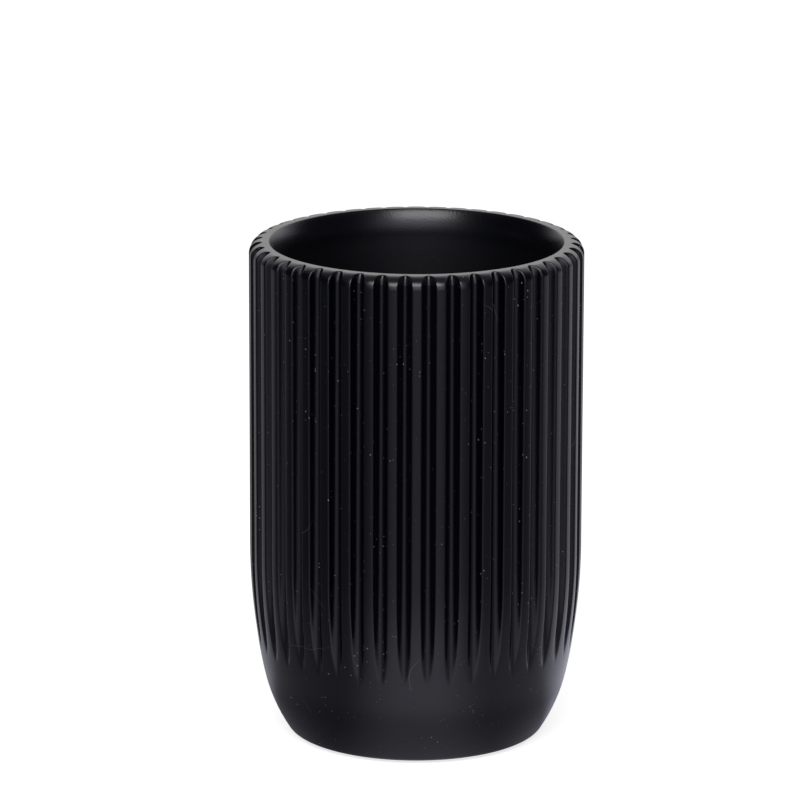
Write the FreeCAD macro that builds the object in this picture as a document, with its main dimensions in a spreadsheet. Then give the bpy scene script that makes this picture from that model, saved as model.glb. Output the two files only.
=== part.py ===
import FreeCAD, Part
import math
import os

import Sketcher

# Fluted bathroom tumbler, free standing, mouth up along +Z.
# The origin is the centre of the pad face that it stands on.
# Lengths are in millimetres and angles in degrees.

V = FreeCAD.Vector
start, end, centre = range(1, 4)  # the points of an edge, as a sketch numbers them

# The driving sizes. Each one is a cell of the sheet, under the same name.
size = {
    # cast body
    "body_radius": 37.5,  # over the crests of the ribs
    "body_height": 113.0,  # from foot ring to rim
    "rim_wall": 4.3,  # from the crests to the inner side of the flat rim
    "rim_shoulder_radius": 2.8,  # outer edge of the rim
    "rim_lip_radius": 0.35,  # inner edge of the rim
    "mouth_flare_radius": 10.0,  # the inside opens out towards the rim on this curve
    "mouth_flare_turn": 33.0,  # how far that curve turns
    "upper_sweep_radius": 138.0,  # gentle curve in the side below the straight wall
    "upper_sweep_turn": 12.25,  # how far that curve turns
    "lower_sweep_radius": 37.8,  # tighter curve below it
    "lower_sweep_turn": 20.75,  # how far the tighter curve turns
    "base_corner_radius": 2.2,  # edge of the underside
    "floor_thickness": 6.5,  # from foot ring to inside floor
    "floor_corner_radius": 12.0,  # inside, where wall meets floor
    # flutes
    "flute_count": 44,  # all round
    "flute_half_width": 1.6,  # half the width of a flute at the crests
    "flute_depth": 2.1,  # from crest to the bottom of a flute
    "flute_edge_ease": 0.2,  # width of the softened edge beside a flute
    # base pad and the film that holds it
    "foot_ring_width": 3.5,  # flat ring of the body round the pad
    "pad_gap": 0.4,  # between pad and the wall of its recess
    "pad_thickness": 1.8,  # foam pad
    "pad_proud": 0.5,  # how far the pad stands below the foot ring
    "film_thickness": 0.15,  # adhesive film
    "film_inset": 0.8,  # film edge inside the pad edge
}

doc = FreeCAD.newDocument("Tumbler")
sheet = doc.addObject("Spreadsheet::Sheet", "Sizes")
for row, (alias, value) in enumerate(size.items(), start=1):
    sheet.set(f"A{row}", alias.replace("_", " "))
    sheet.set(f"B{row}", str(value))
    sheet.setAlias(f"B{row}", alias)
doc.recompute()

# Sizes of the underside, worked out by the sheet's own names. The side curves in
# over its two sweeps and the base corner, and what is left is flat.
drawn_in = (
    "(Sizes.upper_sweep_radius * (1 - cos(Sizes.upper_sweep_turn))"
    " + Sizes.lower_sweep_radius * (cos(Sizes.upper_sweep_turn)"
    " - cos(Sizes.upper_sweep_turn + Sizes.lower_sweep_turn))"
    " + Sizes.base_corner_radius * cos(Sizes.upper_sweep_turn + Sizes.lower_sweep_turn))"
)
recess_radius = f"Sizes.body_radius - {drawn_in} - Sizes.foot_ring_width"
recess_depth = "Sizes.pad_thickness + Sizes.film_thickness - Sizes.pad_proud"
pad_radius = f"{recess_radius} - Sizes.pad_gap"
film_radius = f"{pad_radius} - Sizes.film_inset"


def bind(sketch, constraint, expression):
    # gives one dimension of a sketch the value of an expression on the sheet
    index = sketch.addConstraint(constraint)
    sketch.setExpression(f"Constraints[{index}]", expression)


def newBody(label):
    body = doc.addObject("PartDesign::Body", label)
    body.Label = label
    return body


def originFeature(body, role):
    return next(item for item in body.Origin.OriginFeatures if item.Role == role)


def newSketch(body, name, plane):
    sketch = body.newObject("Sketcher::SketchObject", name)
    sketch.AttachmentSupport = [(originFeature(body, plane), "")]
    sketch.MapMode = "FlatFace"
    return sketch


def addLine(sketch, first, second):
    return sketch.addGeometry(Part.LineSegment(first, second))


def addArc(sketch, middle, radius, start_angle, end_angle):
    # an arc that runs anticlockwise between two angles in degrees
    circle = Part.Circle(middle, V(0, 0, 1), radius)
    limits = math.radians(start_angle), math.radians(end_angle)
    return sketch.addGeometry(Part.ArcOfCircle(circle, *limits))


def addCircle(sketch, across, radius_expression, radius, across_expression=None):
    # a circle on the sketch's own origin, or on its X axis
    ring = sketch.addGeometry(Part.Circle(V(across, 0, 0), V(0, 0, 1), radius))
    bind(sketch, Sketcher.Constraint("Radius", ring, radius), radius_expression)
    if across_expression is None:
        sketch.addConstraint(Sketcher.Constraint("Coincident", ring, centre, -1, start))
    else:
        sketch.addConstraint(Sketcher.Constraint("PointOnObject", ring, centre, -1))
        place = Sketcher.Constraint("DistanceX", -1, start, ring, centre, across)
        bind(sketch, place, across_expression)


def offsetBelow(radius, below):
    # from a circle's centre to its point that lies below the centre's level by an angle
    angle = math.radians(below)
    return V(radius * math.cos(angle), -radius * math.sin(angle), 0)


def wallSection(body):
    # Half section of the whole wall, X outwards and Y up, from the foot ring.
    sketch = newSketch(body, "WallSection", "XZ_Plane")
    outer, top = size["body_radius"], size["body_height"]
    mouth = outer - size["rim_wall"]
    shoulder, lip = size["rim_shoulder_radius"], size["rim_lip_radius"]
    flare, opening = size["mouth_flare_radius"], size["mouth_flare_turn"]
    upper, lower = size["upper_sweep_radius"], size["lower_sweep_radius"]
    corner, floor_corner = size["base_corner_radius"], size["floor_corner_radius"]
    first = size["upper_sweep_turn"]
    second = first + size["lower_sweep_turn"]
    floor = size["floor_thickness"]

    # places worked out from the arcs' tangency, at the mouth and then at the foot
    lip_middle = V(mouth, top - lip, 0)
    flare_middle = lip_middle + offsetBelow(flare - lip, opening)
    bore = flare_middle.x - flare
    inner = upper - (outer - bore)
    to_join = offsetBelow(upper - lower, first)
    to_corner = to_join + offsetBelow(lower - corner, second)
    upper_middle = V(outer - upper, corner - to_corner.y, 0)
    lower_middle = upper_middle + to_join
    corner_middle = upper_middle + to_corner
    drop = upper_middle.y - floor - floor_corner
    floor_turn = math.degrees(math.asin(drop / (inner - floor_corner)))
    floor_middle = upper_middle + offsetBelow(inner - floor_corner, floor_turn)

    underside = addLine(sketch, V(0, 0, 0), V(corner_middle.x, 0, 0))
    base_corner = addArc(sketch, corner_middle, corner, -90, -second)
    lower_sweep = addArc(sketch, lower_middle, lower, -second, -first)
    upper_sweep = addArc(sketch, upper_middle, upper, -first, 0)
    wall = addLine(sketch, V(outer, upper_middle.y, 0), V(outer, top - shoulder, 0))
    rim_shoulder = addArc(sketch, V(outer - shoulder, top - shoulder, 0), shoulder, 0, 90)
    rim = addLine(sketch, V(outer - shoulder, top, 0), V(mouth, top, 0))
    rim_lip = addArc(sketch, lip_middle, lip, 90, 180 - opening)
    mouth_flare = addArc(sketch, flare_middle, flare, 180 - opening, 180)
    bore_wall = addLine(sketch, V(bore, flare_middle.y, 0), V(bore, upper_middle.y, 0))
    inner_sweep = addArc(sketch, upper_middle, inner, -floor_turn, 0)
    inner_corner = addArc(sketch, floor_middle, floor_corner, -90, -floor_turn)
    inner_floor = addLine(sketch, V(floor_middle.x, floor, 0), V(0, floor, 0))
    axis_side = addLine(sketch, V(0, floor, 0), V(0, 0, 0))

    # each piece of the outline runs smoothly into the next
    smooth = [
        (underside, end, base_corner, start),
        (base_corner, end, lower_sweep, start),
        (lower_sweep, end, upper_sweep, start),
        (upper_sweep, end, wall, start),
        (wall, end, rim_shoulder, start),
        (rim_shoulder, end, rim, start),
        (rim, end, rim_lip, start),
        (rim_lip, end, mouth_flare, start),
        (mouth_flare, end, bore_wall, start),
        (bore_wall, end, inner_sweep, end),
        (inner_sweep, start, inner_corner, end),
        (inner_corner, start, inner_floor, start),
    ]
    for first_edge, first_end, second_edge, second_end in smooth:
        joint = Sketcher.Constraint("Tangent", first_edge, first_end, second_edge, second_end)
        sketch.addConstraint(joint)
    sketch.addConstraint([
        Sketcher.Constraint("Coincident", inner_floor, end, axis_side, start),
        Sketcher.Constraint("Coincident", axis_side, end, -1, start),
        Sketcher.Constraint("Coincident", underside, start, -1, start),
        Sketcher.Constraint("Coincident", inner_sweep, centre, upper_sweep, centre),
        Sketcher.Constraint("Horizontal", underside),
        Sketcher.Constraint("Vertical", axis_side),
        Sketcher.Constraint("Vertical", wall),
        Sketcher.Constraint("Horizontal", inner_floor),
    ])
    radii = [
        (base_corner, "base_corner_radius"),
        (lower_sweep, "lower_sweep_radius"),
        (upper_sweep, "upper_sweep_radius"),
        (rim_shoulder, "rim_shoulder_radius"),
        (rim_lip, "rim_lip_radius"),
        (mouth_flare, "mouth_flare_radius"),
        (inner_corner, "floor_corner_radius"),
    ]
    for edge, alias in radii:
        bind(sketch, Sketcher.Constraint("Radius", edge, size[alias]), f"Sizes.{alias}")
    turns = [
        (upper_sweep, "upper_sweep_turn"),
        (lower_sweep, "lower_sweep_turn"),
        (mouth_flare, "mouth_flare_turn"),
    ]
    for edge, alias in turns:
        turn = Sketcher.Constraint("Angle", edge, math.radians(size[alias]))
        bind(sketch, turn, f"Sizes.{alias} * 1 deg")
    places = [
        ("DistanceX", (-1, start), (wall, start), "body_radius"),
        ("DistanceX", (rim, end), (wall, start), "rim_wall"),
        ("DistanceY", (-1, start), (rim, start), "body_height"),
        ("DistanceY", (-1, start), (inner_floor, start), "floor_thickness"),
    ]
    for kind, from_point, to_point, alias in places:
        place = Sketcher.Constraint(kind, *from_point, *to_point, size[alias])
        bind(sketch, place, f"Sizes.{alias}")
    return sketch


def cutUp(body, sketch, name):
    # a pocket from the foot ring's plane up into the body
    pocket = body.newObject("PartDesign::Pocket", name)
    pocket.Profile = sketch
    pocket.Reversed = True
    return pocket


def castBody():
    body = newBody("tumbler_body")
    section = wallSection(body)
    turned = body.newObject("PartDesign::Revolution", "Wall")
    turned.Profile = section
    turned.ReferenceAxis = (section, ["V_Axis"])
    turned.Angle = 360
    section.Visibility = False
    doc.recompute()

    recess_sketch = newSketch(body, "RecessSketch", "XY_Plane")
    addCircle(recess_sketch, 0, recess_radius, size["body_radius"])
    recess = cutUp(body, recess_sketch, "PadRecess")
    recess.setExpression("Length", recess_depth)
    doc.recompute()

    # A flute is an upright elliptic cut centred on the crest radius. It runs out
    # by itself over the rim shoulder and where the side sweeps in.
    flute_sketch = newSketch(body, "FluteSketch", "XY_Plane")
    crest, depth, half_width = size["body_radius"], size["flute_depth"], size["flute_half_width"]
    oval = Part.Ellipse(V(crest + depth, 0, 0), V(crest, half_width, 0), V(crest, 0, 0))
    outline = flute_sketch.addGeometry(oval)
    flute_sketch.exposeInternalGeometry(outline)
    major, minor = outline + 1, outline + 2
    flute_sketch.addConstraint(Sketcher.Constraint("PointOnObject", outline, centre, -1))
    flute_sketch.addConstraint(Sketcher.Constraint("Horizontal", major))
    crest_place = Sketcher.Constraint("DistanceX", -1, start, outline, centre, crest)
    bind(flute_sketch, crest_place, "Sizes.body_radius")
    long_way = Sketcher.Constraint("Distance", major, 2 * depth)
    bind(flute_sketch, long_way, "2 * Sizes.flute_depth")
    short_way = Sketcher.Constraint("Distance", minor, 2 * half_width)
    bind(flute_sketch, short_way, "2 * Sizes.flute_half_width")
    flute = cutUp(body, flute_sketch, "Flute")
    flute.Type = "ThroughAll"
    doc.recompute()

    # A wider round cutter, further out, takes the sharp edges off each flute.
    ease_sketch = newSketch(body, "EaseSketch", "XY_Plane")
    reach = half_width + size["flute_edge_ease"]
    reach_text = "(Sizes.flute_half_width + Sizes.flute_edge_ease)"
    addCircle(
        ease_sketch,
        crest + reach,
        f"sqrt(2) * {reach_text}",
        math.sqrt(2) * reach,
        f"Sizes.body_radius + {reach_text}",
    )
    ease = cutUp(body, ease_sketch, "FluteEdges")
    ease.Type = "ThroughAll"
    doc.recompute()

    # half a pitch round, so that a rib faces the front
    for sketch in (flute_sketch, ease_sketch):
        sketch.AttachmentOffset = FreeCAD.Placement(V(0, 0, 0), FreeCAD.Rotation(V(0, 0, 1), 1))
        sketch.setExpression("AttachmentOffset.Rotation.Angle", "180 deg / Sizes.flute_count")
    flutes = body.newObject("PartDesign::PolarPattern", "Flutes")
    flutes.Originals = [flute, ease]
    flutes.Axis = (originFeature(body, "Z_Axis"), [""])
    flutes.Angle = 360
    flutes.setExpression("Occurrences", "Sizes.flute_count")
    body.Tip = flutes
    body.setExpression("Placement.Base.z", "Sizes.pad_proud")
    doc.recompute()
    return body, [turned, recess, flute, ease, flutes]


def disc(label, radius, thickness, lift=None):
    # a die-cut disc, flat on the plane z = 0 of its own body
    body = newBody(label)
    sketch = newSketch(body, label + "_outline", "XY_Plane")
    addCircle(sketch, 0, radius, size["body_radius"])
    pad = body.newObject("PartDesign::Pad", label + "_sheet")
    pad.Profile = sketch
    pad.setExpression("Length", thickness)
    if lift:
        body.setExpression("Placement.Base.z", lift)
    doc.recompute()
    return body


tumbler, steps = castBody()
pad = disc("base_pad", pad_radius, "Sizes.pad_thickness")
film = disc("pad_adhesive", film_radius, "Sizes.film_thickness", "Sizes.pad_thickness")

doc.recompute()
for item in doc.Objects:
    if "Invalid" in item.State or "Error" in item.State:
        raise RuntimeError(f"{item.Label} did not build: {item.State}")
for sketch in doc.findObjects("Sketcher::SketchObject"):
    if sketch.solve() != 0:
        raise RuntimeError(f"{sketch.Label} does not solve")
for before, after in zip(steps, steps[1:]):
    if after.Shape.Volume >= before.Shape.Volume:
        raise RuntimeError(f"{after.Label} removes nothing")

os.makedirs("parts", exist_ok=True)
for piece in (tumbler, pad, film):
    shape = piece.Shape
    if shape.isNull() or not shape.isValid() or len(shape.Solids) != 1:
        raise RuntimeError(f"{piece.Label} is not one valid solid")
    shape.exportStep(f"parts/{piece.Label}.step")
    box = shape.optimalBoundingBox(True, False)
    print(f"{piece.Label}: width {box.XLength:.2f}, z {box.ZMin:.2f} to {box.ZMax:.2f}")
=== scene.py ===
import math
import bpy
import numpy as np
from mathutils import Matrix, Vector


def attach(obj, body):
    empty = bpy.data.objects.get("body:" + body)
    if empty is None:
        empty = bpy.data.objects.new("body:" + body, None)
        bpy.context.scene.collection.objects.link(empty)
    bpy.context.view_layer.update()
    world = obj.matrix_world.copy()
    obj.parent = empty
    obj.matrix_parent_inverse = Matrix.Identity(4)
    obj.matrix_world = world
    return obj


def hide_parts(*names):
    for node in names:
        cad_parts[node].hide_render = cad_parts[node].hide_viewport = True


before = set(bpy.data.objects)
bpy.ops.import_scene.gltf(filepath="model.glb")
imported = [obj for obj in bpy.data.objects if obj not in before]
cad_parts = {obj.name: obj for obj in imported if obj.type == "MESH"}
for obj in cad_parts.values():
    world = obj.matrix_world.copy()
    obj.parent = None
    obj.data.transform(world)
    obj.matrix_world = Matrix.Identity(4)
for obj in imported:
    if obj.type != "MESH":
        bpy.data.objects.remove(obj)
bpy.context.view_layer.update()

mm = 0.001
degreesPerRadian = 180 / math.pi
noiseMean = 0.5

# the casting, sizes in mm and angles in degrees, heights above its own foot
tumbler = {
    "crestRadius": 37.5,
    "height": 113.0,
    "rimWall": 4.3,  # from the crests to the inner side of the flat rim
    "shoulderRadius": 2.8,
    "lipRadius": 0.35,
    "flareRadius": 10.0,  # the inside opens out towards the rim
    "flareTurn": 33.0,
    "upperSweepRadius": 138.0,
    "upperSweepTurn": 12.25,
    "lowerSweepRadius": 37.8,
    "lowerSweepTurn": 20.75,
    "cornerRadius": 2.2,
    "floorThickness": 6.5,
    "floorCornerRadius": 12.0,
    "fluteCount": 44,
    "fluteHalfWidth": 1.49,  # without its rounded edges
    "fluteDepth": 2.2,  # near the rim
    "fluteDraft": 0.20,  # how far a flute's bottom leans out towards the foot
    # near the foot and higher up: 0.5 is an oval section, more is pointed
    "fluteFullness": (0.50, 0.62),
    "fullnessHeights": (24.0, 60.0),
    "fluteTopRun": 2.2,  # over this height its bottom bends in below the rim
    "fluteTopBend": 0.72,
    "fluteTopEase": 1.5,  # power of that bend, 1 would be straight
    "fluteTopRadius": 0.2,
    "fluteRunOn": 3.0,  # slope of its section past its sides, up to the crests
    "edgeBlend": 1.0,  # how far down the cast edges of a deep flute are rounded
    "leastBlend": 0.14,  # the same where it has run out
    "blendShare": 0.75,  # in between it is this share of the depth that is left
    "blendLoss": 0.32,  # less this
    "ribCrown": 9.0,  # the crest of a rib is rounded to this radius
    "crownDepth": 0.8,  # and less so where its flutes are shallower than this
    "footRingWidth": 3.5,
    "recessDepth": 1.45,
    "recessEdge": 0.25,
    "footHeight": 0.5,  # the foot ring stands this far above the shelf
}

# how finely the casting is meshed: rows of faces along the stretches of its profile
fineness = {
    "shoulder": 18,
    "upright": 3,
    "deepFlutes": 6,
    "fadingFlutes": 22,
    "fadingTurn": 6.8,  # degrees of the upper sweep above which the flutes are deep
    "lowerSweep": 8,
    "corner": 7,
    "rim": 2,
    "lip": 4,
    "flare": 10,
    "bore": 3,
    "innerSweep": 6,
    "floorCorner": 10,
    "floor": 4,
    "footRing": 2,
    "recessRounding": 4,
    "recessWall": 2,
    "recessCeiling": 4,
    "innermost": 1.5,  # radius in mm of the last ring round the axis
    # columns across half a flute and over its edge, closer where the section turns
    "fluteShares": (0, 0.08, 0.18, 0.30, 0.44, 0.60, 0.76, 0.90, 1.0, 1.07, 1.15, 1.26),
    "ribColumns": 3,  # from there to the middle of a rib
    "evenStart": 0.3,  # mm past a flute's end from which the columns spread out evenly
    "evenRun": 3.0,  # mm over which they do
    "plainStep": 4,  # columns of a fluted ring to one of a plain ring
}


def offsetBelow(radius, below):
    angle = math.radians(below)
    return np.array([radius * math.cos(angle), -radius * math.sin(angle)])


def arcRows(middle, radius, first, last, count):
    # points of a profile along an arc, without its first point
    angles = np.radians(np.linspace(first, last, count + 1)[1:])
    across, up = middle
    return [(across + radius * math.cos(a), up + radius * math.sin(a)) for a in angles]


def lineRows(begin, finish, count):
    # the same along a straight line
    steps = np.linspace(0, 1, count + 1)[1:]
    across, up = finish[0] - begin[0], finish[1] - begin[1]
    return [(begin[0] + across * s, begin[1] + up * s) for s in steps]


def smoothMin(a, b, blur):
    # the lesser of two heights, with the crease between them rounded
    near = np.clip(blur - np.abs(a - b), 0, None) / blur
    return np.minimum(a, b) - near * near * blur / 4


def profileCentres(t):
    corner, lower, upper = t["cornerRadius"], t["lowerSweepRadius"], t["upperSweepRadius"]
    first = t["upperSweepTurn"]
    second = first + t["lowerSweepTurn"]
    toJoin = offsetBelow(upper - lower, first)
    toCorner = toJoin + offsetBelow(lower - corner, second)
    upperMiddle = np.array([t["crestRadius"] - upper, corner - toCorner[1]])
    return upperMiddle, upperMiddle + toJoin, upperMiddle + toCorner, first, second


def outerRows(t, n):
    # radius over the crests and height, from the flat rim down to the flat foot
    upperMiddle, lowerMiddle, cornerMiddle, first, second = profileCentres(t)
    crest, shoulder, upper = t["crestRadius"], t["shoulderRadius"], t["upperSweepRadius"]
    middle = (crest - shoulder, t["height"] - shoulder)
    rows = [(middle[0], t["height"])]
    rows += arcRows(middle, shoulder, 90, 0, n["shoulder"])
    rows += lineRows(rows[-1], (crest, upperMiddle[1]), n["upright"])
    rows += arcRows(upperMiddle, upper, 0, -n["fadingTurn"], n["deepFlutes"])
    rows += arcRows(upperMiddle, upper, -n["fadingTurn"], -first, n["fadingFlutes"])
    rows += arcRows(lowerMiddle, t["lowerSweepRadius"], -first, -second, n["lowerSweep"])
    rows += arcRows(cornerMiddle, t["cornerRadius"], -second, -90, n["corner"])
    return rows


def innerRows(t, n):
    # from the flat rim down the inside to the middle of the floor
    upperMiddle = profileCentres(t)[0]
    mouth = t["crestRadius"] - t["rimWall"]
    lipMiddle = np.array([mouth, t["height"] - t["lipRadius"]])
    flareMiddle = lipMiddle + offsetBelow(t["flareRadius"] - t["lipRadius"], t["flareTurn"])
    bore = flareMiddle[0] - t["flareRadius"]
    inner = t["upperSweepRadius"] - (t["crestRadius"] - bore)
    rounding = t["floorCornerRadius"]
    drop = upperMiddle[1] - t["floorThickness"] - rounding
    turn = math.degrees(math.asin(drop / (inner - rounding)))
    floorMiddle = upperMiddle + offsetBelow(inner - rounding, turn)
    rim = t["crestRadius"] - t["shoulderRadius"]
    rows = lineRows((rim, t["height"]), (mouth, t["height"]), n["rim"])
    rows += arcRows(lipMiddle, t["lipRadius"], 90, 180 - t["flareTurn"], n["lip"])
    rows += arcRows(flareMiddle, t["flareRadius"], 180 - t["flareTurn"], 180, n["flare"])
    rows += lineRows(rows[-1], (bore, upperMiddle[1]), n["bore"])
    rows += arcRows(upperMiddle, inner, 0, -turn, n["innerSweep"])
    rows += arcRows(floorMiddle, rounding, -turn, -90, n["floorCorner"])
    rows += lineRows(rows[-1], (n["innermost"], t["floorThickness"]), n["floor"])
    return rows


def underRows(t, n):
    # from the foot's flat ring over the recess wall to the middle of its ceiling
    ringMiddle = profileCentres(t)[2][0]
    recess = ringMiddle - t["footRingWidth"]
    edge, depth = t["recessEdge"], t["recessDepth"]
    rows = lineRows((ringMiddle, 0), (recess + edge, 0), n["footRing"])
    rows += arcRows((recess + edge, edge), edge, -90, -180, n["recessRounding"])
    rows += lineRows(rows[-1], (recess, depth - edge), n["recessWall"])
    rows += arcRows((recess - edge, depth - edge), edge, 0, 90, n["recessRounding"])
    rows += lineRows(rows[-1], (n["innermost"], depth), n["recessCeiling"])
    return rows


def cutDepth(t, depth, across, z):
    # how far a flute reaches below the crest radius; past its sides it runs on upwards
    beyond = np.abs(across) - t["fluteHalfWidth"]
    inside = np.clip(1 - (across / t["fluteHalfWidth"]) ** 2, 0, None)
    fullness = np.interp(z, t["fullnessHeights"], t["fluteFullness"])
    return np.where(beyond < 0, depth * inside ** fullness, -t["fluteRunOn"] * beyond)


def bendIn(t, down):
    # how far a flute's bottom lies further in, this far below the rim
    radius = t["fluteTopRadius"]
    bend = t["fluteTopBend"] * max(0, 1 - down / t["fluteTopRun"]) ** t["fluteTopEase"]
    low = max(0, radius - down)
    return bend + radius - math.sqrt(radius * radius - low * low)


def flutedRing(t, n, crestRadius, z):
    # one level of the outside: x and y all round, at one radius over the crests
    pitch = 2 * math.pi / t["fluteCount"]
    halfPitch = crestRadius * math.sin(pitch / 2)
    down = t["height"] - z
    depth = t["fluteDepth"] - down * math.tan(math.radians(t["fluteDraft"])) + bendIn(t, down)
    left = crestRadius - (t["crestRadius"] - depth)  # how deep the flute still is here
    places = t["fluteHalfWidth"] * np.array(n["fluteShares"])
    onRib = np.linspace(places[-1], halfPitch, n["ribColumns"] + 1)[1:]
    half = np.concatenate([places, onRib])
    even = np.linspace(0, halfPitch, len(half))
    half = half + (even - half) * np.clip((-n["evenStart"] - left) / n["evenRun"], 0, 1)
    across = np.concatenate([-half[:0:-1], half[:-1]])
    fromCrest = halfPitch - np.abs(across)
    crown = fromCrest ** 2 * (0.5 / t["ribCrown"] - 0.5 / t["crestRadius"])
    crown = crown * np.clip(left / t["crownDepth"], 0, 1)
    crestHeight = np.sqrt(crestRadius ** 2 - across ** 2) - crown
    blend = max(left * t["blendShare"] - t["blendLoss"], t["leastBlend"])
    cut = t["crestRadius"] - cutDepth(t, depth, across, z)
    out = smoothMin(crestHeight, cut, min(blend, t["edgeBlend"]))
    angle = (np.arange(t["fluteCount"]) + 0.5)[:, None] * pitch
    x = out * np.sin(angle) + across * np.cos(angle)
    y = -out * np.cos(angle) + across * np.sin(angle)
    return x.ravel(), y.ravel()


def plainRing(radius, count, startAngle):
    angle = startAngle + np.arange(count) * 2 * math.pi / count
    return radius * np.sin(angle), -radius * np.cos(angle)


class Surface:
    # gathers rings of points and the faces between them
    def __init__(self):
        self.points, self.faces, self.total = [], [], 0

    def ring(self, x, y, z):
        self.points.append(np.column_stack([x, y, np.broadcast_to(z, len(x))]))
        start = self.total
        self.total += len(x)
        return start, len(x)

    def plainRings(self, rows, count, startAngle):
        return [self.ring(*plainRing(radius, count, startAngle), z) for radius, z in rows]

    def join(self, rings, inwards=False):
        # the faces between each ring and the next
        for upper, lower in zip(rings, rings[1:]):
            (a, count), (b, _) = (lower, upper) if inwards else (upper, lower)
            for i in range(count):
                after = (i + 1) % count
                self.faces.append((a + i, b + i, b + after, a + after))

    def fan(self, wide, narrow, inwards):
        # joins a ring to one with fewer points, lying flat
        (a, many), (b, few) = wide, narrow
        step = many // few
        for i in range(few):
            outer = [a + (i * step + k) % many for k in range(step + 1)]
            face = outer + [b + (i + 1) % few, b + i]
            self.faces.append(tuple(face if inwards else face[::-1]))

    def cap(self, ring, z, upwards):
        start, count = ring
        middle, _ = self.ring(np.zeros(1), np.zeros(1), z)
        for i in range(count):
            face = (start + i, start + (i + 1) % count, middle)
            self.faces.append(face if upwards else face[::-1])

    def build(self, name, lift):
        points = np.concatenate(self.points)
        points[:, 2] += lift
        mesh = bpy.data.meshes.new(name)
        mesh.from_pydata((points * mm).tolist(), [], self.faces)
        mesh.validate()
        mesh.shade_smooth()
        piece = bpy.data.objects.new(name, mesh)
        bpy.context.scene.collection.objects.link(piece)
        return piece


def castShell(t, n):
    surface = Surface()
    rings = [surface.ring(*flutedRing(t, n, radius, z), z) for radius, z in outerRows(t, n)]
    surface.join(rings)
    # the plain rings start where the first column of the fluted ones does
    x, y, _ = surface.points[0][0]
    startAngle = math.atan2(x, -y)
    few = rings[0][1] // n["plainStep"]
    inner = surface.plainRings(innerRows(t, n), few, startAngle)
    surface.fan(rings[0], inner[0], inwards=True)
    surface.join(inner, inwards=True)
    surface.cap(inner[-1], t["floorThickness"], upwards=True)
    under = surface.plainRings(underRows(t, n), few, startAngle)
    surface.fan(rings[-1], under[0], inwards=False)
    surface.join(under)
    surface.cap(under[-1], t["recessDepth"], upwards=False)
    return surface.build("cast_shell", t["footHeight"])


# the foam disc stuck under it, sizes in mm
foamPad = {
    "gap": 0.4,  # to the wall of its recess
    "thickness": 1.8,
    "edgeRounding": 0.22,
    "waist": 0.12,  # how far the cut side is drawn in
    "sag": 0.05,  # unevenness of the face that it stands on
    "sagWaves": 7,  # round the disc
    # the cut edge wanders by so much, in so many waves, from such an angle
    "wander": ((0.03, 5, 1.0), (0.02, 11, 0.0)),
    "wanderShare": 0.9,  # of the radius, beyond which it does
    "columns": 144,
    "faceRows": 14,
    "roundingRows": 4,
    "sideRows": 5,
    "backRows": 4,
    "innermost": 2.0,
}


def foamDisc(t, p):
    radius = profileCentres(t)[2][0] - t["footRingWidth"] - p["gap"]
    edge, thick = p["edgeRounding"], p["thickness"]
    rows = [(p["innermost"], 0.0)]
    rows += lineRows(rows[-1], (radius - edge, 0), p["faceRows"])
    rows += arcRows((radius - edge, edge), edge, -90, 0, p["roundingRows"])
    for z in np.linspace(edge, thick - edge, p["sideRows"] + 2)[1:-1]:
        drawnIn = p["waist"] * math.sin(math.pi * (z - edge) / (thick - 2 * edge))
        rows.append((radius - drawnIn, z))
    rows += arcRows((radius - edge, thick - edge), edge, 0, 90, p["roundingRows"])
    rows += lineRows(rows[-1], (p["innermost"], thick), p["backRows"])
    angle = np.arange(p["columns"]) * 2 * math.pi / p["columns"]
    wander = sum(size * np.sin(waves * angle + start) for size, waves, start in p["wander"])
    surface = Surface()
    rings = []
    for number, (r, z) in enumerate(rows):
        x, y = plainRing(r, p["columns"], 0.0)
        scale = 1 + wander / radius if r > radius * p["wanderShare"] else 1
        lift = 0
        if number < p["faceRows"]:
            uneven = 1 - np.cos(p["sagWaves"] * angle + r)
            lift = p["sag"] * 0.5 * uneven * math.sin(math.pi * r / radius) ** 2
        rings.append(surface.ring(x * scale, y * scale, z + lift))
    surface.join(rings, inwards=True)
    surface.cap(rings[0], 0.0, upwards=False)
    surface.cap(rings[-1], thick, upwards=True)
    return surface.build("foam_disc", 0.0)


def operatorPair(operation):
    # a Math node for an operator, and for its reflected form
    def forward(self, other):
        return self.calc(operation, other)

    def reflected(self, other):
        return self.node("ShaderNodeMath", {"operation": operation}, {0: other, 1: self})

    return forward, reflected


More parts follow.
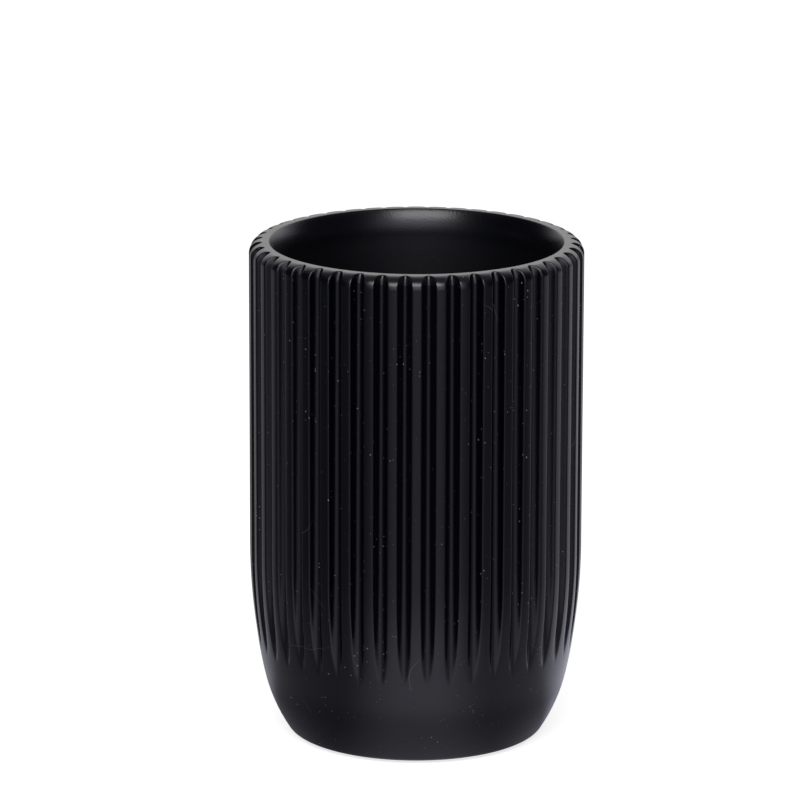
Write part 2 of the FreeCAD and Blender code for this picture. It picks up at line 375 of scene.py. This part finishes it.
class Wire:
    # a socket of a node, which can take part in sums
    def __init__(self, tree, socket=None):
        self.tree, self.socket = tree, socket

    def node(self, kind, settings=None, inputs=None, output=0):
        made = self.tree.nodes.new(kind)
        for name, value in (settings or {}).items():
            setattr(made, name, value)
        for name, value in (inputs or {}).items():
            if isinstance(value, Wire):
                self.tree.links.new(value.socket, made.inputs[name])
            else:
                made.inputs[name].default_value = value
        return Wire(self.tree, made.outputs[output] if made.outputs else None)

    def output(self, name):
        # another socket of the same node
        return Wire(self.tree, self.socket.node.outputs[name])

    def calc(self, operation, *others):
        values = dict(enumerate((self, *others)))
        return self.node("ShaderNodeMath", {"operation": operation}, values)

    __add__, __radd__ = operatorPair("ADD")
    __sub__, __rsub__ = operatorPair("SUBTRACT")
    __mul__, __rmul__ = operatorPair("MULTIPLY")
    __truediv__, __rtruediv__ = operatorPair("DIVIDE")
    __pow__, __rpow__ = operatorPair("POWER")
    __gt__ = operatorPair("GREATER_THAN")[0]
    __lt__ = operatorPair("LESS_THAN")[0]

    def fade(self, low, high, atLow=0.0, atHigh=1.0):
        # moves smoothly from one value to another between two levels
        return self.node("ShaderNodeMapRange", {"interpolation_type": "SMOOTHSTEP"}, {
            "Value": self, "From Min": low, "From Max": high,
            "To Min": atLow, "To Max": atHigh,
        })

    def mix(self, first, second):
        # a colour between two, by this value; a Mix node's colour sockets go by number
        inputs = {0: self, 6: first, 7: second}
        return self.node("ShaderNodeMix", {"data_type": "RGBA"}, inputs, 2)


def opaque(colour):
    return (*colour, 1.0)


def newMaterial(name):
    # an empty material, and the place on the object
    material = bpy.data.materials.new(name)
    material.use_nodes = True
    material.node_tree.nodes.clear()
    start = Wire(material.node_tree)
    return material, start.node("ShaderNodeTexCoord", output="Object")


def axes(place):
    split = place.node("ShaderNodeSeparateXYZ", {}, {"Vector": place})
    return split.output("X"), split.output("Y"), split.output("Z")


def noise(place, scale, detail):
    inputs = {"Vector": place, "Scale": scale, "Detail": detail}
    return place.node("ShaderNodeTexNoise", {}, inputs)


def cells(place, scale):
    inputs = {"Vector": place, "Scale": scale}
    return place.node("ShaderNodeTexVoronoi", {"feature": "F1"}, inputs)


def closeMaterial(s, colour, roughness, height):
    bump = height.node("ShaderNodeBump", {}, {
        "Strength": s["bumpStrength"], "Distance": s["bumpDistance"], "Height": height,
    })
    shader = bump.node("ShaderNodeBsdfPrincipled", {}, {
        "Base Color": colour, "Roughness": roughness, "IOR": s["ior"], "Normal": bump,
    })
    shader.node("ShaderNodeOutputMaterial", {}, {"Surface": shader})


def dress(piece, material):
    piece.data.materials.clear()
    piece.data.materials.append(material)


# the coat of the casting, places in metres; each noise has a scale and a detail
satinBlack = {
    "colour": (0.0004, 0.0006, 0.0024),
    "roughness": 0.25,
    "roughnessSpread": 0.05,
    "clouds": (60.0, 3.0),  # slow unevenness of the cast surface
    "tooth": (2600.0, 2.0),  # the fine tooth of its coat
    "insideRoughness": 0.24,  # the inside is this much rougher, as it was cast
    "insideRadius": 0.0334,
    "insideFrom": 0.02,
    "insideHeights": (0.105, 0.1134),  # over which the outside's polish sets in
    "dustColour": (0.22, 0.22, 0.23),
    "dustScale": 1400.0,
    "dustSize": 0.72,
    "dustFree": 0.62,  # share of the places for a speck that stay empty
    "dustEdge": 0.04,
    "dustLessInside": 0.6,
    "dustRoughness": 0.3,
    "dustHeight": 0.5,
    "groups": (120.0, 3.0),
    "groupLevels": (0.54, 0.66),
    "groupSizes": (0.48, 1.0),  # of the specks between the groups and in them
    "hairColour": (0.036, 0.036, 0.038),
    "hairCourse": (38.0, 1.0),
    "hairWidth": (0.0006, 0.0020),
    "hairPlaces": (62.0, 0.0),
    "hairLevels": (0.65, 0.73),
    "bumpStrength": 0.12,
    "bumpDistance": 0.0002,
    "ior": 1.5,
}


def satinBlackFinish(s):
    material, place = newMaterial("satin_black")
    x, y, z = axes(place)
    fromAxis = (x * x + y * y) ** 0.5
    inside = (fromAxis < s["insideRadius"]) * (z > s["insideFrom"])
    # dust: many small specks, some strewn evenly and more of them in loose groups
    specks = cells(place, s["dustScale"])
    chance = place.node("ShaderNodeSeparateColor", {}, {"Color": specks.output("Color")})
    groups = noise(place, *s["groups"]).fade(*s["groupLevels"], *s["groupSizes"])
    size = groups * (chance - s["dustFree"]) * s["dustSize"]
    size = size * (1 - inside * s["dustLessInside"])
    dust = (size - specks).fade(0.0, s["dustEdge"])
    # hairs: short pieces of the level lines of a slow noise, outside only
    offLine = (noise(place, *s["hairCourse"]) - noiseMean).calc("ABSOLUTE")
    hair = offLine.fade(*s["hairWidth"], 1.0, 0.0)
    hair = hair * noise(place, *s["hairPlaces"]).fade(*s["hairLevels"]) * (1 - inside)
    colour = hair.mix(opaque(s["colour"]), opaque(s["hairColour"]))
    colour = dust.mix(colour, opaque(s["dustColour"]))
    asCast = inside * z.fade(*s["insideHeights"], 1.0, 0.0)
    clouds = (noise(place, *s["clouds"]) - noiseMean) * s["roughnessSpread"]
    roughness = s["roughness"] + asCast * s["insideRoughness"] + clouds
    roughness = roughness + dust * s["dustRoughness"]
    height = noise(place, *s["tooth"]) + dust * s["dustHeight"]
    closeMaterial(s, colour, roughness, height)
    return material


# the foam of the pad
foam = {
    "pitColour": (0.010, 0.010, 0.011),
    "colour": (0.034, 0.034, 0.036),
    "poreScale": 2600.0,
    "poreEdge": (0.15, 0.5),
    "patches": (150.0, 4.0),
    "pitShare": 0.6,
    "patchShare": 0.4,
    "roughness": 0.9,
    "bumpStrength": 0.6,
    "bumpDistance": 0.0003,
    "ior": 1.45,
}


def foamFinish(s):
    material, place = newMaterial("pad_foam")
    pits = cells(place, s["poreScale"]).fade(*s["poreEdge"])
    patches = noise(place, *s["patches"]) * s["patchShare"]
    level = pits * s["pitShare"] + patches
    colour = level.mix(opaque(s["pitColour"]), opaque(s["colour"]))
    closeMaterial(s, colour, s["roughness"], pits + patches)
    return material


# the film that holds the pad
filmLook = {
    "colours": ((0.50, 0.46, 0.34), (0.62, 0.57, 0.45)),
    "fibres": (700.0, 5.0),
    "roughness": 0.35,
    "roughnessSpread": 0.2,
    "bumpStrength": 0.3,
    "bumpDistance": 0.00005,
    "ior": 1.48,
}


def filmFinish(s):
    material, place = newMaterial("adhesive_film")
    fibres = noise(place, *s["fibres"])
    colour = fibres.mix(*[opaque(colour) for colour in s["colours"]])
    closeMaterial(s, colour, s["roughness"] + fibres * s["roughnessSpread"], fibres)
    return material


shell = castShell(tumbler, fineness)
dress(shell, satinBlackFinish(satinBlack))
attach(shell, "root")
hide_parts("tumbler_body")
print("cast shell:", len(shell.data.polygons), "faces")

disc = foamDisc(tumbler, foamPad)
dress(disc, foamFinish(foam))
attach(disc, "root")
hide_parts("base_pad")
print("foam disc:", len(disc.data.polygons), "faces")

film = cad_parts["pad_adhesive"]
dress(film, filmFinish(filmLook))
print("adhesive film dressed")

# the shelf and the light round it, in metres and degrees
studio = {
    "shelfReach": 6.0,
    "floorColour": (0.80, 0.80, 0.80),
    "floorLift": 0.755,  # what the camera sees is raised to white by this much
    # what the gloss sees round the object: a bright patch in front, dark sides, a pale back;
    # on the shelf this is painted light, a glow that only glossy rays see
    "shelfFront": 0.24,
    "airFront": 1.40,
    "frontHalfAngle": (6.0, 44.0),  # where the patch starts to fade and ends
    "shelfBackAngle": (88.0, 108.0),
    "airBackAngle": (114.0, 146.0),
    "backTurned": -7.0,
    "shelfSides": (0.10, 0.16),  # left and right
    "airSides": (0.03, 0.05),
    "sideBlend": 0.5,  # sine of the angle either side of the middle where both levels blend
    "shelfBack": (0.26, 0.42),  # left and right
    "airBack": (1.00, 1.20),
    "backBlend": 0.9,
    "backFoot": (0.0, 13.0),  # elevations between which the backdrop brightens
    "backFootLevel": 0.20,
    "backTop": (30.0, 70.0),  # elevations between which it darkens again
    "above": 0.28,
    "frontTint": (0.98, 0.98, 1.16),  # of what the gloss sees
    "backTint": (1.02, 1.0, 1.0),
    "tintAngle": (105.0, 175.0),
    "paintedPoolRun": (0.055, 0.20),  # the shelf's glow is brighter near the foot, between these radii: a painted pool of light
    "paintedPoolLevel": 2.3,
    "paintedPoolBackLevel": 1.2,
    "paintedShadowRun": (0.040, 0.056),  # and darker right at the foot: a painted shadow in that glow
    "paintedShadowLevel": 0.62,
    "plain": 0.30,  # what lights dull surfaces from all round
}

keyLamp = {
    "elevation": 44.0,
    "azimuth": -6.0,
    "distance": 1.0,
    "aimHeight": 0.06,
    "size": (0.72, 0.44),
    "power": 4.6,
}


def aroundGlow(s, x, y, where, frontShare, backShare):
    # brightness and colour by direction round the object; 0 degrees is the front
    azimuth = x.calc("ARCTAN2", 0 - y) * degreesPerRadian
    turn = azimuth.calc("ABSOLUTE")
    backTurn = (azimuth - s["backTurned"]).calc("ABSOLUTE")
    toRight = x / (x * x + y * y) ** 0.5  # runs smoothly all round, so no edge shows behind
    front = turn.fade(*s["frontHalfAngle"], s[where + "Front"], 0.0)
    side = toRight.fade(-s["sideBlend"], s["sideBlend"], *s[where + "Sides"])
    back = toRight.fade(-s["backBlend"], s["backBlend"], *s[where + "Back"])
    behind = backTurn.fade(*s[where + "BackAngle"])
    level = (front + side) * frontShare + behind * back * backShare
    tint = turn.fade(*s["tintAngle"]).mix(opaque(s["frontTint"]), opaque(s["backTint"]))
    return level, tint


def rayKinds(start):
    rays = start.node("ShaderNodeLightPath")
    return rays.output("Is Camera Ray"), rays.output("Is Glossy Ray")


def makeFloor(s):
    reach = s["shelfReach"]
    corners = [(-reach, -reach, 0), (reach, -reach, 0), (reach, reach, 0), (-reach, reach, 0)]
    mesh = bpy.data.meshes.new("shelf")
    mesh.from_pydata(corners, [], [(0, 1, 2, 3)])
    floor = bpy.data.objects.new("shelf", mesh)
    bpy.context.scene.collection.objects.link(floor)
    material, place = newMaterial("pale_shelf")
    x, y, _ = axes(place)
    far = (x * x + y * y) ** 0.5
    # painted light: a pool of light round the foot, painted into the glow that glossy rays see
    # on the shelf
    paintedPoolFront = far.fade(*s["paintedPoolRun"], s["paintedPoolLevel"], 1.0)
    paintedPoolBack = far.fade(*s["paintedPoolRun"], s["paintedPoolBackLevel"], 1.0)
    glow, tint = aroundGlow(s, x, y, "shelf", paintedPoolFront, paintedPoolBack)
    # a painted shadow darkens the glow right at the foot
    glow = glow * far.fade(*s["paintedShadowRun"], s["paintedShadowLevel"], 1.0)
    camera, glossy = rayKinds(place)
    plain = place.node("ShaderNodeBsdfDiffuse", {}, {"Color": opaque(s["floorColour"])})
    # the shelf's glow is painted light and a painted reflection: only glossy rays see it,
    # while the camera sees the pale floor
    paintedGlow = place.node("ShaderNodeEmission", {}, {"Color": tint, "Strength": glow})
    lift = place.node("ShaderNodeEmission", {}, {"Strength": s["floorLift"]})
    pale = place.node("ShaderNodeAddShader", {}, {0: plain, 1: lift})
    shown = place.node("ShaderNodeMixShader", {}, {0: camera, 1: plain, 2: pale})
    result = place.node("ShaderNodeMixShader", {}, {0: glossy, 1: shown, 2: paintedGlow})
    result.node("ShaderNodeOutputMaterial", {}, {"Surface": result})
    dress(floor, material)


def makeWorld(s):
    world = bpy.data.worlds.new("studio")
    world.use_nodes = True
    world.node_tree.nodes.clear()
    bpy.context.scene.world = world
    place = Wire(world.node_tree).node("ShaderNodeTexCoord", output="Generated")
    x, y, up = axes(place)
    height = up.calc("ARCSINE") * degreesPerRadian
    top = height.fade(*s["backTop"])
    backShare = height.fade(*s["backFoot"], s["backFootLevel"], 1.0)
    glow, tint = aroundGlow(s, x, y, "air", 1.0, backShare)
    glow = glow * (1 - top) + s["above"] * top
    camera, glossy = rayKinds(place)
    level = glossy * glow + (1 - glossy) * s["plain"]
    level = camera + (1 - camera) * level  # the camera sees plain white
    tint = glossy.mix(opaque((1, 1, 1)), tint)
    shader = place.node("ShaderNodeBackground", {}, {"Color": tint, "Strength": level})
    shader.node("ShaderNodeOutputWorld", {}, {"Surface": shader})


def makeLamp(name, s):
    lamp = bpy.data.lights.new(name, "AREA")
    lamp.shape, lamp.energy = "RECTANGLE", s["power"]
    lamp.size, lamp.size_y = s["size"]
    holder = bpy.data.objects.new(name, lamp)
    elevation, azimuth = math.radians(s["elevation"]), math.radians(s["azimuth"])
    level = math.cos(elevation)
    away = Vector((math.sin(azimuth) * level, -math.cos(azimuth) * level, math.sin(elevation)))
    holder.location = Vector((0, 0, s["aimHeight"])) + away * s["distance"]
    holder.rotation_euler = away.to_track_quat("Z", "Y").to_euler()
    bpy.context.scene.collection.objects.link(holder)


makeFloor(studio)
makeWorld(studio)
makeLamp("key", keyLamp)
print("shelf and light")

# the camera of the photograph, placed from the middle of the rim
view = {
    "pitch": 14.502,
    "roll": -0.147,
    "distance": 32.91,  # in crest radii
    "focalPixels": 5525.6,
    "rimCentre": (416.64, 240.34),  # where the rim's centre falls in the picture
    "pictureSide": 800,
    "sensor": 36.0,
    "clip": (0.05, 60.0),
}


def makeCamera(v, t):
    pitch, roll = math.radians(v["pitch"]), math.radians(v["roll"])
    forward = Vector((0, math.cos(pitch), -math.sin(pitch)))
    across = Vector((1, 0, 0))
    above = Vector((0, math.sin(pitch), math.cos(pitch)))
    right = across * math.cos(roll) - above * math.sin(roll)
    upright = across * math.sin(roll) + above * math.cos(roll)
    perPixel = v["distance"] / v["focalPixels"]
    centre = v["pictureSide"] / 2
    shiftRight = (v["rimCentre"][0] - centre) * perPixel
    shiftUp = (centre - v["rimCentre"][1]) * perPixel
    offset = -right * shiftRight - upright * shiftUp - forward * v["distance"]
    rim = Vector((0, 0, t["height"] + t["footHeight"])) * mm
    camera = bpy.data.cameras.new("view")
    camera.sensor_width = v["sensor"]
    camera.lens = v["focalPixels"] * v["sensor"] / v["pictureSide"]
    camera.clip_start, camera.clip_end = v["clip"]
    holder = bpy.data.objects.new("view", camera)
    turn = Matrix((right, upright, -forward)).transposed().to_4x4()
    place = Matrix.Translation(rim + offset * t["crestRadius"] * mm)
    holder.matrix_world = place @ turn
    bpy.context.scene.collection.objects.link(holder)
    bpy.context.scene.camera = holder


makeCamera(view, tumbler)
bpy.context.scene.view_settings.view_transform = "Standard"
print("camera")
